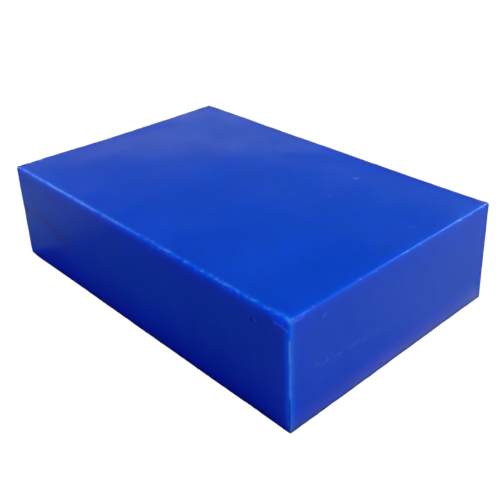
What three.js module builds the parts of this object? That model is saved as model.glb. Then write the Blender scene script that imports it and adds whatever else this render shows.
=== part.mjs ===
// A bar of detailing clay: one slab of soft blue synthetic clay, cut to a plain rectangular block.
// The bar is a single homogeneous piece, so it is one mesh.
// Millimetres. +X runs along the bar, +Y across it and +Z up.
// The origin is the middle of the face that the bar rests on.
import * as THREE from "three";

// Driving dimensions of the bar.
const LENGTH = 96;
const WIDTH = 64;
const HEIGHT = 25;

// A knife leaves the edges nearly sharp. The upright ones are handled more, so they are rounder.
const RIM_RADIUS = 0.5;
const UPRIGHT_RADIUS = 0.9;
const RIM_STEPS = 5;
const UPRIGHT_STEPS = 8;

// The bar seen from above: a rectangle whose corners are quarter circles.
function barOutline() {
  const cornerX = LENGTH / 2 - UPRIGHT_RADIUS;
  const cornerY = WIDTH / 2 - UPRIGHT_RADIUS;
  const quarterTurn = Math.PI / 2;
  const corners = [
    [cornerX, cornerY],
    [-cornerX, cornerY],
    [-cornerX, -cornerY],
    [cornerX, -cornerY],
  ];
  const outline = new THREE.Shape();
  corners.forEach(([x, y], turn) => {
    outline.absarc(x, y, UPRIGHT_RADIUS, turn * quarterTurn, (turn + 1) * quarterTurn);
  });
  return outline;
}

// The outline raised to the bar's height, with its top and bottom rims rounded inside that height.
function clayBlock() {
  const geometry = new THREE.ExtrudeGeometry(barOutline(), {
    depth: HEIGHT - 2 * RIM_RADIUS,
    curveSegments: UPRIGHT_STEPS,
    bevelEnabled: true,
    bevelThickness: RIM_RADIUS,
    bevelSize: RIM_RADIUS,
    bevelOffset: -RIM_RADIUS,
    bevelSegments: RIM_STEPS,
  });
  const clay = new THREE.MeshStandardMaterial({ color: 0x1540b8, roughness: 0.35, metalness: 0 });
  const block = new THREE.Mesh(geometry, clay);
  block.name = "clay_block";
  block.position.z = RIM_RADIUS;
  return block;
}

const clayBar = new THREE.Group();
clayBar.add(clayBlock());

export default clayBar;
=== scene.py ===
"""A bar of detailing clay on a white studio floor.

The bar is one soft, translucent slab. Its faces are nearly flat and its edges nearly sharp, and
what makes it look real is small: faces that sag by a few tenths of a millimetre, rims that a knife
has nicked, pits and scuffs, and light that enters at an edge and glows out of the next face.
"""
import math

import bpy
import numpy as np
from mathutils import Matrix, Vector, noise
from mathutils.geometry import delaunay_2d_cdt


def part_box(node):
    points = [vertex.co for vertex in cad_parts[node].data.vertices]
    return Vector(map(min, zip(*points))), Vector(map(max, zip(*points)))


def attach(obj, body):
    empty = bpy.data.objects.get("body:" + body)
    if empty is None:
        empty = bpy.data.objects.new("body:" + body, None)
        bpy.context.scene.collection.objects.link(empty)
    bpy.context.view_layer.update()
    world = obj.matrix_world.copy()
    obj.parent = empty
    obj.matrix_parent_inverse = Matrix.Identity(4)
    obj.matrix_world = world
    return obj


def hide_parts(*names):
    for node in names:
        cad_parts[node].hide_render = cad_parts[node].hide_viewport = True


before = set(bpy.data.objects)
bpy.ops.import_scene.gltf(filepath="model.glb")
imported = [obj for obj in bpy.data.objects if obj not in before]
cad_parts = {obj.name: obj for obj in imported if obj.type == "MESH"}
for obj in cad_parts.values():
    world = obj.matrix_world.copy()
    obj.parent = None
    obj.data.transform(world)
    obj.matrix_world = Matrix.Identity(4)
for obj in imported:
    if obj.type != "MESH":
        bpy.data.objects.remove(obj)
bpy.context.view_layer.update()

# The mesh is shaped in millimetres and stored in metres.
MM = 0.001
LOW, HIGH = (np.array(corner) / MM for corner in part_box("clay_block"))
CENTRE = (LOW + HIGH) / 2
HALF = (HIGH - LOW) / 2
# The three faces that show best: the long one at the front, the end one on the right and the top.
SIDE = LOW[1]
END = HIGH[0]
TOP = HIGH[2]
# Points this close to a face count as on it.
ON_FACE = 0.01

# Mesh spacing. Rows of points crowd towards the rim, where the clay is rounded and nicked.
RIM_SPACING = 0.2
SPACING_GROWTH = 0.28
FIRST_ROW = 0.11
ROW_GROWTH = 1.27
RIM_BAND = 3.5
FACE_SPACING = 1.25
# A mark on a face gets rings of points, at these shares of its radius, in place of the points near it.
MARK_RINGS = (0, 0.3, 0.6, 0.9, 1.2)
MARK_SPOKES = 12
MARK_CLEARING = 1.3
MARK_MARGIN = 0.05
SAME_PLACE = 1e-6

# The edge of the clay is rounded by about this radius, and no two stretches are quite alike.
RIM_RADIUS = 0.38
RIM_VARIATION = 0.14

# The bar was cut by hand, so its corners miss a true box by these millimetres.
CORNER_SHIFTS = {
    (-1, -1, 1): (-0.02, -0.06, 0.16),
    (-1, 1, 1): (-0.44, 0.03, -0.07),
    (1, 1, 1): (-0.13, -0.18, -0.10),
    (1, -1, 1): (-0.06, -0.02, 0.04),
    (1, 1, -1): (0.21, 0.09, 0),
    (1, -1, -1): (0.28, -0.10, 0),
    (-1, -1, -1): (0.01, 0.05, 0),
}

# Pits in the faces: centre, radius and depth. One with a negative depth is a small lump.
PITS = [
    ((18.7, 21.5, TOP), 0.45, 0.16),
    ((17.1, 26.4, TOP), 0.35, 0.10),
    ((20.2, 10.0, TOP), 0.50, 0.09),
    ((42.3, 10.5, TOP), 0.40, 0.06),
    ((42.4, -7.3, TOP), 0.35, 0.08),
    ((12.6, -29.0, TOP), 0.40, 0.10),
    ((38.4, SIDE, 20.9), 0.50, 0.22),
    ((39.1, SIDE, 20.6), 0.35, -0.12),
    ((43.8, SIDE, 22.1), 0.35, 0.10),
    ((END, -22.8, 21.9), 0.40, -0.10),
    ((END, -24.9, 11.8), 0.35, 0.10),
    ((END, -22.3, 11.3), 0.40, 0.10),
    ((END, 25.4, 10.8), 0.35, 0.08),
    ((END, 13.8, 1.9), 0.40, 0.12),
    ((END, -17.1, 11.1), 0.40, -0.09),
    ((-8.0, SIDE, 3.8), 0.40, 0.12),
    ((1.0, SIDE, 1.8), 0.40, 0.10),
    ((30.6, SIDE, 1.6), 0.40, 0.12),
]

# Small marks just above the foot of the bar: centre, radius and depth.
FOOT_MARKS = [
    ((-18.2, SIDE, 1.9), 0.40, 0.10),
    ((-16.8, SIDE, 1.2), 0.45, 0.10),
    ((END, 2.5, 1.4), 0.40, 0.08),
    ((END, -0.3, 1.2), 0.35, 0.08),
    ((END, -5.6, 1.3), 0.40, 0.08),
    ((END, -11.1, 1.2), 0.40, 0.08),
    ((END, -15.6, 1.1), 0.40, 0.08),
]

# Thin pale lines on the faces. Most are whitened clay; the two on the knife's burr and the one by the
# small lump on the long face are partly a painted highlight on a raised facet. Start, stop, width and how
# pale they are.
PALE_STREAKS = [
    ((44.3, SIDE, 23.2), (46.2, SIDE, 23.3), 0.18, 0.35),
    ((46.2, SIDE, 23.3), (47.7, SIDE, 22.9), 0.18, 0.50),
    ((38.9, SIDE, 21.0), (39.6, SIDE, 20.8), 0.22, 0.45),
    ((END, -31.3, 24.3), (END, -29.9, 24.4), 0.14, 0.40),
    ((END, -29.4, 24.2), (END, -28.2, 24.5), 0.14, 0.30),
    ((END, -25.1, 11.6), (END, -24.4, 12.1), 0.14, 0.25),
    ((END, -22.6, 11.1), (END, -21.9, 11.6), 0.14, 0.30),
    ((END, -23.0, 21.8), (END, -22.6, 22.1), 0.16, 0.35),
    ((17.9, 21.3, TOP), (18.5, 21.9, TOP), 0.20, 0.45),
]
# The streaks and specks are painted on the mesh, so it is dense this many times their width round them.
STREAK_PATCH = 1.8
SPECK_PATCH = 1.6

# Something dragged along the end face left a broken line of whitened specks, from one y to another.
# About one speck in three lies higher, on a second line.
SCUFF_START, SCUFF_STOP = -25.0, -6.0
SCUFF_HEIGHT = 11.4
SCUFF_SLOPE = -0.06
SCUFF_GAP = 0.6
SECOND_LINE = 0.9

# The clay swells and sinks over its faces, ripples a little, and is more ragged at its rims.
SWELL = 0.07
FACE_RIPPLE = 0.02
RAGGED_RIM = 0.035
LEFT_SAG = 0.28
BACK_SAG = 0.10

# The larger marks: a flap left by the knife, a band pressed into the long face, and a fine crack.
BURR_Z, BURR_HEIGHT, BURR_WIDTH = 23.0, 0.14, 0.22
BAND_Z, BAND_DEPTH, BAND_WIDTH = 12.9, 0.09, 1.6
CRACK_DEPTH, CRACK_WIDTH = 0.16, 0.12


def scuff_specks():
    """The specks of the scuff: centre, radius and how pale each is."""
    dice = np.random.default_rng(3)
    specks = []
    for y in np.arange(SCUFF_START, SCUFF_STOP, SCUFF_GAP):
        height = SCUFF_HEIGHT + SCUFF_SLOPE * (y - SCUFF_START)
        height += dice.choice([0, 0, SECOND_LINE]) + dice.normal(0, 0.15)
        specks.append(((END, y, height), dice.uniform(0.15, 0.28), dice.uniform(0.02, 0.15)))
    return specks


# ---------------------------------------------------------------- the mesh

def pale_marks():
    """Small round patches along each pale streak and speck, where the mesh has to be dense."""
    marks = [(centre, SPECK_PATCH * radius, 0) for centre, radius, _ in scuff_specks()]
    for start, stop, width, _ in PALE_STREAKS:
        start, stop = np.array(start), np.array(stop)
        steps = math.ceil(np.linalg.norm(stop - start) / (2 * width))
        for step in range(steps + 1):
            marks.append((start + (stop - start) * step / steps, STREAK_PATCH * width, 0))
    return marks


def stations(length, spacing):
    """Evenly spaced places along an edge, the same ones whichever face asks for them."""
    return np.linspace(-length / 2, length / 2, max(2, round(length / spacing)) + 1)


def ring(half_a, half_b, spacing):
    """Points round a rectangle."""
    along_a = stations(2 * half_a, spacing)
    along_b = stations(2 * half_b, spacing)[1:-1]
    points = [(a, side * half_b) for a in along_a for side in (-1, 1)]
    points += [(side * half_a, b) for b in along_b for side in (-1, 1)]
    return points


def mark_points(centre_a, centre_b, radius):
    """A middle point and rings of points round it."""
    turns = np.linspace(0, 2 * math.pi, MARK_SPOKES + 1)
    return [
        (centre_a + share * radius * math.cos(turn), centre_b + share * radius * math.sin(turn))
        for share in MARK_RINGS
        for turn in turns[: MARK_SPOKES if share else 1]
    ]


def on_rim(point, half_a, half_b):
    return abs(point[0]) == half_a or abs(point[1]) == half_b


def face_points(half_a, half_b, marks):
    """Points over one face: dense at the rim and round the marks, sparse in between."""
    points = []
    inset, step = 0.0, FIRST_ROW
    while inset < RIM_BAND:
        spacing = RIM_SPACING + SPACING_GROWTH * inset
        points += ring(half_a - inset, half_b - inset, spacing)
        inset += step
        step *= ROW_GROWTH
    rows = stations(2 * (half_b - inset), FACE_SPACING)
    columns = stations(2 * (half_a - inset), FACE_SPACING)
    for number, b in enumerate(rows):
        shift = FACE_SPACING / 4 * (-1) ** number
        points += [(a + shift, b) for a in columns]
    limit_a, limit_b = half_a - MARK_MARGIN, half_b - MARK_MARGIN
    for a, b, radius in marks:
        clearing = MARK_CLEARING * radius
        points = [p for p in points if on_rim(p, half_a, half_b) or math.dist(p, (a, b)) > clearing]
        points += [p for p in mark_points(a, b, radius) if abs(p[0]) < limit_a and abs(p[1]) < limit_b]
    return points


def box_mesh(marks):
    """The sharp-edged box as points and triangles, closed, with the faces' edge points shared."""
    index, points, triangles = {}, [], []
    for axis in range(3):
        u, v = (axis + 1) % 3, (axis + 2) % 3
        for side in (-1, 1):
            face_place = CENTRE[axis] + side * HALF[axis]
            here = [
                (centre[u] - CENTRE[u], centre[v] - CENTRE[v], radius)
                for centre, radius, _ in marks
                if abs(centre[axis] - face_place) < SAME_PLACE
            ]
            flat = face_points(HALF[u], HALF[v], here)
            made, _, faces, *_ = delaunay_2d_cdt([Vector(p) for p in flat], [], [], 0, SAME_PLACE)
            numbers = []
            for a, b in made:
                spot = np.empty(3)
                spot[axis], spot[u], spot[v] = side * HALF[axis], a, b
                key = tuple(np.round(spot, 4))
                if key not in index:
                    index[key] = len(points)
                    points.append(spot + CENTRE)
                numbers.append(index[key])
            for face in faces:
                corners = [numbers[i] for i in face]
                triangles.append(corners if side > 0 else corners[::-1])
    return np.array(points), triangles


# ---------------------------------------------------------------- the shape of the clay

def waves(points, wavelength, seed):
    """Smooth noise from about -1 to 1, one value for each point."""
    offset = Vector((seed * 17.3, seed * -9.1, seed * 5.7))
    return np.array([noise.noise(Vector(p) / wavelength + offset) for p in points])


def step_up(value, low, high):
    """0 below low, 1 above high and a smooth climb between them."""
    t = np.clip((value - low) / (high - low), 0, 1)
    return t * t * (3 - 2 * t)


def bump(distance, width):
    """1 at no distance, fading smoothly to 0 over about twice this width."""
    return np.exp(-((distance / width) ** 2))


def on_long_face(points):
    return points[:, 1] < SIDE + ON_FACE


def rim_distance(points):
    """How far each point of the sharp box is from the nearest edge."""
    return np.sort(HALF - np.abs(points - CENTRE), axis=1)[:, 1]


def edge_distance(points, **where):
    """How far each point is from the edge where two of x, y and z have the given values."""
    axes = ["xyz".index(name) for name in where]
    return np.linalg.norm(points[:, axes] - list(where.values()), axis=1)


def distance_to(points, place):
    return np.linalg.norm(points - place, axis=1)


def rim_radius(points):
    """The rounding of the edges: uneven, sharper at the foot and end face, wider at blunted corners."""
    radius = RIM_RADIUS + RIM_VARIATION * waves(points, 4.0, 1)
    radius *= 0.45 + 0.55 * step_up(points[:, 2], 1.5, 4)
    for edge in ({"x": END, "z": TOP}, {"x": END, "y": HIGH[1]}):
        radius *= 1 - 0.5 * bump(edge_distance(points, **edge), 1.5)
    front_corner = np.linalg.norm((points - [END, SIDE, TOP]) / [7, 3, 3], axis=1)
    radius += 0.35 * bump(front_corner, 1.0)
    radius += 0.5 * bump(distance_to(points, [LOW[0], SIDE, LOW[2]]), 2.0)
    return radius


def rounded(points, radius):
    """The points moved from a sharp box onto one with round rims, and their outward directions."""
    radius = radius[:, None]
    core = np.clip(points, LOW + radius, HIGH - radius)
    out = points - core
    out /= np.linalg.norm(out, axis=1)[:, None]
    return core + out * radius, out


def out_of_square(points):
    """How far each point moves because the corners miss a true box."""
    unit = (points - CENTRE) / HALF
    moved = np.zeros_like(points)
    for corner, shift in CORNER_SHIFTS.items():
        share = np.prod(1 + unit * corner, axis=1) / 8
        moved += share[:, None] * shift
    return moved


def dent(points, centre, radius, depth):
    """A round bowl with a slightly raised lip."""
    away = distance_to(points, centre) / radius
    bowl = np.clip(1 - away**2, 0, None) ** 2
    return depth * (0.10 * bump(away - 1.05, 0.2) - bowl)


def chip_places():
    """Seeded nicks along the edges: most of them on the long top edge at the front."""
    dice = np.random.default_rng(7)
    edges = [
        ((LOW[0], SIDE, TOP), (0, SIDE, TOP), 1.9, 0.28),
        ((0, SIDE, TOP), (END, SIDE, TOP), 1.0, 0.36),
        ((END, SIDE, TOP), (END, HIGH[1], TOP), 2.4, 0.30),
        ((LOW[0], HIGH[1], TOP), (END, HIGH[1], TOP), 6.0, 0.25),
        ((LOW[0], SIDE, TOP), (LOW[0], HIGH[1], TOP), 6.0, 0.25),
        ((END, SIDE, 9), (END, SIDE, 0), 1.2, 0.30),
        ((LOW[0], HIGH[1], 0), (LOW[0], HIGH[1], TOP), 5.0, 0.30),
    ]
    chips = []
    for start, stop, gap, size in edges:
        start, stop = np.array(start, float), np.array(stop, float)
        length = np.linalg.norm(stop - start)
        place = dice.uniform(0, gap)
        while place < length:
            spot = start + (stop - start) * place / length
            spot -= dice.uniform(0, 0.35, 3) * np.sign(spot - CENTRE)
            radius = size * dice.uniform(0.6, 1.4)
            chips.append((spot, radius, radius * dice.uniform(0.15, 0.45)))
            place += dice.exponential(gap)
    return chips


def knife_burr(points):
    """The thin flap that the knife left beside the front corner."""
    x, _, z = points.T
    along = step_up(x, 43.9, 44.8) * step_up(-x, -47.7, -47.0)
    return BURR_HEIGHT * along * on_long_face(points) * bump(z - BURR_Z, BURR_WIDTH)


def smeared_band(points):
    """A shallow, wandering hollow that was pressed into the left end of the long face."""
    x, _, z = points.T
    middle = BAND_Z + 1.1 * np.sin((x + 45) / 3.1) - 0.03 * (x + 45)
    along = step_up(-x, 20, 30)
    return -BAND_DEPTH * along * on_long_face(points) * bump(z - middle, BAND_WIDTH)


def upright_crack(points):
    """A fine wandering groove beside the lower part of the front upright edge."""
    x, _, z = points.T
    middle = END - 0.16 - 0.07 * np.sin(z * 2.1) - 0.05 * np.sin(z * 5.3 + 1)
    low_part = step_up(-z, -8.6, -7.6)
    return -CRACK_DEPTH * low_part * on_long_face(points) * bump(x - middle, CRACK_WIDTH)


def surface_shift(points):
    """How far the real surface lies outside (or, if negative, inside) the clean rounded box."""
    near_rim = bump(rim_distance(points), 0.9)
    shift = SWELL * waves(points, 19.0, 2) + FACE_RIPPLE * waves(points, 6.0, 3)
    shift += RAGGED_RIM * near_rim * waves(points, 0.9, 4)
    shift += knife_burr(points) + smeared_band(points) + upright_crack(points)
    for centre, radius, depth in PITS + FOOT_MARKS + chip_places():
        close = np.max(np.abs(points - centre), axis=1) < 1.6 * radius
        shift[close] += dent(points[close], centre, radius, depth)
    return shift


def sag(points):
    """The top droops a little along its left and back edges, between corners that stay up."""
    x, y, _ = ((points - CENTRE) / HALF).T
    at_top = step_up(points[:, 2], 15, TOP)
    left = LEFT_SAG * step_up(-x, 0.2, 1.0) * (1 - y**2)
    back = BACK_SAG * step_up(y, 0.2, 1.0) * (1 - x**2)
    return -at_top * (left + back)


def shaped(points):
    """Where the points of the sharp box end up on the real bar."""
    places, out = rounded(points, rim_radius(points))
    places += out * surface_shift(points)[:, None]
    places += out_of_square(points)
    places[:, 2] += sag(points)
    return places


# ---------------------------------------------------------------- the marks, and the light and shade, painted on the clay

def streak(points, start, stop, width):
    """1 along the line from start to stop, fading across this width."""
    start, stop = np.array(start), np.array(stop)
    along = (points - start) @ (stop - start) / np.dot(stop - start, stop - start)
    nearest = start + np.clip(along, 0, 1)[:, None] * (stop - start)
    return bump(np.linalg.norm(points - nearest, axis=1), width)


def patchy(points):
    """How strong a mark is along its length: mostly full, with gaps."""
    return np.clip(0.75 + 0.9 * waves(points, 1.3, 5), 0.05, 1)


def whitening_and_highlights(points):
    """Whitened clay and painted highlights: 1 on the palest lines, 0 on clean clay."""
    x, y, z = points.T
    uneven = patchy(points)
    serrated = np.clip(0.1 + 2.2 * waves(points, 0.8, 6), 0, 1)
    right_part = step_up(x, -14, 0)
    long_edge = edge_distance(points, y=SIDE, z=TOP)
    middle_part = step_up(z, 7.6, 8.6) * step_up(-z, -21.3, -20.6)
    front_end = step_up(-y, 25, 28)
    pale_and_highlight = [
        # Painted highlights on the rims: the long top edge, the front upright edge, the end face's top
        # edge and the front corner.
        0.40 * (1 - right_part) * uneven * bump(long_edge, 0.35),
        0.55 * right_part * serrated * (z > TOP - ON_FACE) * bump(long_edge, 0.6),
        0.90 * middle_part * uneven * bump(edge_distance(points, x=END, y=SIDE + 0.1), 0.16),
        0.30 * front_end * uneven * bump(edge_distance(points, x=END, z=TOP), 0.18),
        0.90 * bump(distance_to(points, [END, SIDE, TOP]), 0.35),
    ]
    for start, stop, width, strength in PALE_STREAKS:
        pale_and_highlight.append(strength * streak(points, start, stop, width))
    for centre, radius, strength in scuff_specks():
        pale_and_highlight.append(strength * bump(distance_to(points, centre), radius))
    # A painted glint on each chip.
    for centre, radius, _ in chip_places():
        pale_and_highlight.append(0.35 * bump(distance_to(points, centre), 0.6 * radius))
    # A painted highlight on one side of the lip of each pit and mark.
    for centre, radius, _ in PITS + FOOT_MARKS:
        lip = np.array(centre) + [0.8 * radius, 0.8 * radius, -0.5 * radius]
        pale_and_highlight.append(0.15 * bump(distance_to(points, lip), 0.5 * radius))
    return np.maximum.reduce(pale_and_highlight)


def painted_reflection(points):
    """Painted reflection of the floor low on the end face, and painted highlight along the left of the
    long top edge.
    """
    x, y, z = points.T
    on_end = (x > END - ON_FACE) * (0.5 + 0.5 * step_up(y, -35, 5))
    on_long_edge = step_up(-x, -8, 20) * patchy(points) * bump(edge_distance(points, y=SIDE, z=TOP), 0.30)
    return np.maximum(0.18 * on_end * bump(z, 2.8), 0.8 * on_long_edge)


def painted_shade_amount(points):
    """Painted shade: in pits, the band and the crack, at the foot and at the far edges."""
    # Painted dark lines along the far edges.
    far_edges = [
        {"x": LOW[0], "y": SIDE},
        {"x": LOW[0], "y": HIGH[1]},
        {"x": END, "y": HIGH[1]},
        {"x": LOW[0], "z": TOP},
        {"y": HIGH[1], "z": TOP},
    ]
    z = points[:, 2]
    # Painted shade in the crack and the band, at the foot, where it covers the whole underside too, and
    # low on the long face.
    painted_shade = [
        0.90 * upright_crack(points) / -CRACK_DEPTH,
        0.25 * smeared_band(points) / -BAND_DEPTH,
        0.95 * bump(z, 0.55),
        0.70 * on_long_face(points) * bump(z, 0.9),
    ]
    for edge in far_edges:
        distance = edge_distance(points, **edge)
        painted_shade += [0.95 * bump(distance, 0.65), 0.45 * bump(distance, 1.3)]
    # Painted shade in each pit.
    for centre, radius, _ in PITS:
        painted_shade.append(0.5 * bump(distance_to(points, centre), 0.7 * radius))
    return np.maximum.reduce(painted_shade)


def painted_rim_glow(points):
    """The painted glow of light out of each thin edge: 1 at the brightest edge, 0 on the faces."""
    x, y, z = points.T
    near_corner = step_up(x, 41, 47)
    down_the_side = np.hypot(1.3 * (y - SIDE), 0.8 * (TOP - z))
    glows = [
        1.0 * bump(edge_distance(points, x=END, y=SIDE), 1.0),
        (0.70 + 0.30 * near_corner) * bump(down_the_side, 0.8 + 0.5 * near_corner),
        0.22 * bump(edge_distance(points, x=END, z=TOP), 0.75),
    ]
    return np.maximum.reduce(glows)


def clay_block():
    """The bar as one closed mesh, with marks, painted light and painted shade as attributes for the
    material.
    """
    points, triangles = box_mesh(PITS + FOOT_MARKS + pale_marks())
    places = shaped(points)
    mesh = bpy.data.meshes.new("clay_bar")
    mesh.from_pydata((places * MM).tolist(), [], triangles)
    # Whitened clay with painted highlights, a painted reflection, painted shade and a painted glow.
    marks = {
        "pale_and_highlight": whitening_and_highlights(points),
        "painted_reflection": painted_reflection(points),
        "painted_shade": painted_shade_amount(points),
        "painted_glow": painted_rim_glow(points),
    }
    for name, values in marks.items():
        mesh.attributes.new(name, "FLOAT", "POINT").data.foreach_set("value", values)
    mesh.shade_smooth()
    mesh.validate()
    block = bpy.data.objects.new("clay_bar", mesh)
    bpy.context.collection.objects.link(block)
    return block


# ---------------------------------------------------------------- the material

# The clay where it is clean, a painted glow where light comes out of a thin edge, whitened clay that
# also carries painted highlights, a painted reflection and highlight, and painted shade.
CLEAN_CLAY = (0.001, 0.062, 0.60)
PAINTED_GLOW_CLAY = (0.001, 0.26, 0.98)
PALE_AND_HIGHLIGHT_CLAY = (0.28, 0.60, 1.0)
PAINTED_REFLECTION_CLAY = (0.85, 0.75, 0.98)
PAINTED_SHADE_CLAY = (0.004, 0.006, 0.12)

# Noise scales, per metre: clouds and mottle in the colour, patches in the gloss, and the skin.
CLOUDS, MOTTLE, GLOSS_PATCHES, SKIN_RIPPLE, SKIN_GRAIN = 60.0, 350.0, 110.0, 260.0, 1400.0
# How far the noise shifts the colour and the roughness, and the value that it starts from.
SHADE_SPREAD, SHADE_LOW = 0.20, 0.90
ROUGHNESS_SPREAD, ROUGHNESS_LOW = 0.12, 0.16

# Light goes this far into the clay, red, green and blue, as shares of the depth in metres.
LIGHT_REACH = (0.03, 0.17, 1.0)
LIGHT_DEPTH = 0.006


class Nodes:
    """Adds nodes to a material and links them, one short line for each."""

    def __init__(self, tree):
        self.tree = tree

    def add(self, kind, inputs=None, **settings):
        node = self.tree.nodes.new(kind)
        for name, value in settings.items():
            setattr(node, name, value)
        for name, value in (inputs or {}).items():
            self.set(node.inputs[name], value)
        return node

    def set(self, socket, value):
        if isinstance(value, bpy.types.NodeSocket):
            self.tree.links.new(value, socket)
        else:
            socket.default_value = value

    def math(self, operation, *values):
        node = self.add("ShaderNodeMath", operation=operation)
        for socket, value in zip(node.inputs, values):
            self.set(socket, value)
        return node.outputs[0]

    def mix_colour(self, share, low, high):
        node = self.add("ShaderNodeMix", data_type="RGBA")
        self.set(node.inputs["Factor"], share)
        self.set(node.inputs["A"], low)
        self.set(node.inputs["B"], high)
        return node.outputs["Result"]

    def noise(self, place, scale, detail=2.0):
        inputs = {"Vector": place, "Scale": scale, "Detail": detail}
        return self.add("ShaderNodeTexNoise", inputs).outputs["Fac"]


def clay_material():
    """Translucent blue clay, clouded and mottled, with whitened marks and painted light and shade over
    it.
    """
    material = bpy.data.materials.new("blue_clay")
    material.use_nodes = True
    nodes = Nodes(material.node_tree)
    shader = material.node_tree.nodes["Principled BSDF"]
    place = nodes.add("ShaderNodeTexCoord").outputs["Object"]
    pale_and_highlight, painted_reflection, painted_shade, painted_glow = (
        nodes.add("ShaderNodeAttribute", attribute_name=name).outputs["Fac"]
        for name in ("pale_and_highlight", "painted_reflection", "painted_shade", "painted_glow")
    )

    clouds = nodes.math("MULTIPLY_ADD", nodes.noise(place, CLOUDS), SHADE_SPREAD, SHADE_LOW)
    mottle = nodes.math("MULTIPLY_ADD", nodes.noise(place, MOTTLE, 4.0), SHADE_SPREAD, SHADE_LOW)
    shade = nodes.math("MULTIPLY", clouds, mottle)
    clean = nodes.add("ShaderNodeVectorMath", {0: CLEAN_CLAY}, operation="SCALE")
    nodes.set(clean.inputs["Scale"], shade)
    # A painted glow at the edges, for light that comes out through the thin clay.
    colour = nodes.mix_colour(painted_glow, clean.outputs[0], (*PAINTED_GLOW_CLAY, 1))
    # Whitened clay, with painted highlights on the rims, the chips and the pit lips.
    colour = nodes.mix_colour(pale_and_highlight, colour, (*PALE_AND_HIGHLIGHT_CLAY, 1))
    # A painted reflection of the floor low on the end face, and a painted highlight on the long top edge.
    colour = nodes.mix_colour(painted_reflection, colour, (*PAINTED_REFLECTION_CLAY, 1))
    # Painted shade.
    colour = nodes.mix_colour(painted_shade, colour, (*PAINTED_SHADE_CLAY, 1))
    nodes.set(shader.inputs["Base Color"], colour)

    patches = nodes.noise(place, GLOSS_PATCHES, 4.0)
    roughness = nodes.math("MULTIPLY_ADD", patches, ROUGHNESS_SPREAD, ROUGHNESS_LOW)
    nodes.set(shader.inputs["Roughness"], roughness)

    grain = nodes.noise(place, SKIN_GRAIN)
    ripple = nodes.noise(place, SKIN_RIPPLE)
    height = nodes.math("MULTIPLY_ADD", ripple, 3.0, grain)
    rough_skin = nodes.add("ShaderNodeBump", {"Height": height, "Strength": 0.12, "Distance": 0.00004})
    nodes.set(shader.inputs["Normal"], rough_skin.outputs[0])

    shader.inputs["IOR"].default_value = 1.45
    shader.inputs["Specular Tint"].default_value = (0.62, 1, 1, 1)
    # Where shade is painted the clay scatters in no light from elsewhere, so the painted shade stays
    # dark.
    nodes.set(shader.inputs["Subsurface Weight"], nodes.math("SUBTRACT", 1.0, painted_shade))
    shader.inputs["Subsurface Radius"].default_value = LIGHT_REACH
    shader.inputs["Subsurface Scale"].default_value = LIGHT_DEPTH
    return material


# ---------------------------------------------------------------- the studio

FLOOR_GREY = 0.5
FLOOR_WHITE = 1.04
SHADOW_SHARE = 0.03
# What lights the clay where there is no lamp.
DIM_BLUE = (0.0, 0.02, 0.1, 1)
WHITE = (1, 1, 1, 1)


def studio_floor():
    """The camera sees a white floor with a trace of shadow; the clay mirrors a grey one."""
    bpy.ops.mesh.primitive_plane_add(size=6)
    floor = bpy.context.object
    floor.name = "floor"
    material = bpy.data.materials.new("floor")
    material.use_nodes = True
    tree = material.node_tree
    tree.nodes.clear()
    nodes = Nodes(tree)
    grey = nodes.add("ShaderNodeBsdfDiffuse", {"Color": (FLOOR_GREY,) * 3 + (1,)})
    white = nodes.add("ShaderNodeEmission", {"Color": WHITE, "Strength": FLOOR_WHITE})
    seen = nodes.add("ShaderNodeLightPath").outputs["Is Camera Ray"]
    share = nodes.math("MULTIPLY", seen, 1 - SHADOW_SHARE)
    mix = nodes.add("ShaderNodeMixShader", {0: share, 1: grey.outputs[0], 2: white.outputs[0]})
    nodes.add("ShaderNodeOutputMaterial", {"Surface": mix.outputs[0]})
    floor.data.materials.append(material)


def soft_light(name, turn, height, distance, size, colour):
    """A softbox aimed at the bar. Turn is in degrees from -Y towards +X, and height in degrees up."""
    light = bpy.data.lights.new(name, "AREA")
    light.shape = "RECTANGLE"
    light.size, light.size_y = size
    brightness = max(colour)
    light.energy = math.pi * size[0] * size[1] * brightness
    light.color = [part / brightness for part in colour]
    lamp = bpy.data.objects.new(name, light)
    turn, height = math.radians(turn), math.radians(height)
    level = math.cos(height)
    place = Vector((math.sin(turn) * level, -math.cos(turn) * level, math.sin(height)))
    lamp.location = place * distance
    lamp.rotation_euler = (-place).to_track_quat("-Z", "Y").to_euler()
    lamp.visible_camera = False
    bpy.context.collection.objects.link(lamp)
    return lamp


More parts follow.
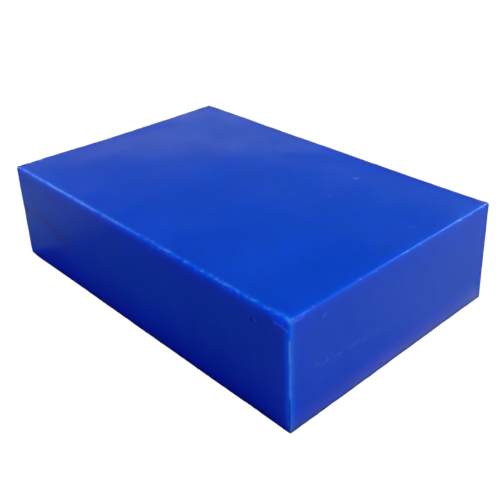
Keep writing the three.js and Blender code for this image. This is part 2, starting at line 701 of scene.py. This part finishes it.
def studio():
    """The floor, surroundings that the camera sees as white, and the lamps."""
    studio_floor()
    world = bpy.data.worlds.new("studio")
    world.use_nodes = True
    nodes = Nodes(world.node_tree)
    background = world.node_tree.nodes["Background"]
    seen = nodes.add("ShaderNodeLightPath").outputs["Is Camera Ray"]
    nodes.set(background.inputs["Color"], nodes.mix_colour(seen, DIM_BLUE, WHITE))
    bpy.context.scene.world = world
    # Name, turn, height, distance, size and colour.
    soft_light("key_behind", 170, 32, 0.5, (0.40, 0.26), (2.4, 4.6, 3.4))
    soft_light("overhead", 180, 80, 0.5, (0.30, 0.20), (0.4, 3.6, 2.8))
    soft_light("right_side", 105, 28, 0.5, (0.24, 0.20), (4, 2.8, 7.6))
    soft_light("left_side", 288, 22, 0.5, (0.05, 0.20), (6, 7, 27))
    low_left = soft_light("low_left", 265, 6, 0.5, (0.24, 0.10), (27, 36, 25))
    soft_light("horizon", 225, 9, 0.6, (0.50, 0.18), (1.7, 1.8, 0.1))
    low_behind = soft_light("low_behind", 180, 15, 0.5, (0.30, 0.12), (20, 23, 11))
    soft_light("fill_front", 320, 42, 0.6, (0.40, 0.30), (0.02, 0.0, 2.3))
    soft_light("fill_right", 85, 15, 0.6, (0.40, 0.20), (0.05, 0.2, 0.5))
    floor_behind = soft_light("floor_behind", 180, 20, 0.6, (0.30, 0.16), (22, 22, 3))
    # The low lamps are only mirrored in the clay, and the last one isn't mirrored: it lights the floor.
    low_left.visible_diffuse = False
    low_behind.visible_diffuse = False
    floor_behind.visible_glossy = False


CAMERA_PLACE = (0.1242, -0.1096, 0.102)
CAMERA_TURN, CAMERA_DIP, CAMERA_ROLL = 46.4, 26.6, -1.15
LENS = 55.35
SHIFT_X, SHIFT_Y = -0.031, -0.09


def camera():
    """The camera at the front right, looking down at the near corner of the bar."""
    view = bpy.data.objects.new("camera", bpy.data.cameras.new("camera"))
    view.data.sensor_width = 36
    view.data.lens = LENS
    view.data.shift_x = SHIFT_X
    view.data.shift_y = SHIFT_Y
    view.data.clip_start = 0.01
    view.location = CAMERA_PLACE
    turn = Matrix.Rotation(math.radians(CAMERA_TURN), 3, "Z")
    tilt = Matrix.Rotation(math.radians(90 - CAMERA_DIP), 3, "X")
    roll = Matrix.Rotation(math.radians(CAMERA_ROLL), 3, "Z")
    view.rotation_euler = (turn @ tilt @ roll).to_euler()
    bpy.context.collection.objects.link(view)
    bpy.context.scene.camera = view


camera()
studio()
block = clay_block()
block.data.materials.append(clay_material())
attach(block, "root")
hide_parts("clay_block")

bpy.context.scene.view_settings.view_transform = "Standard"
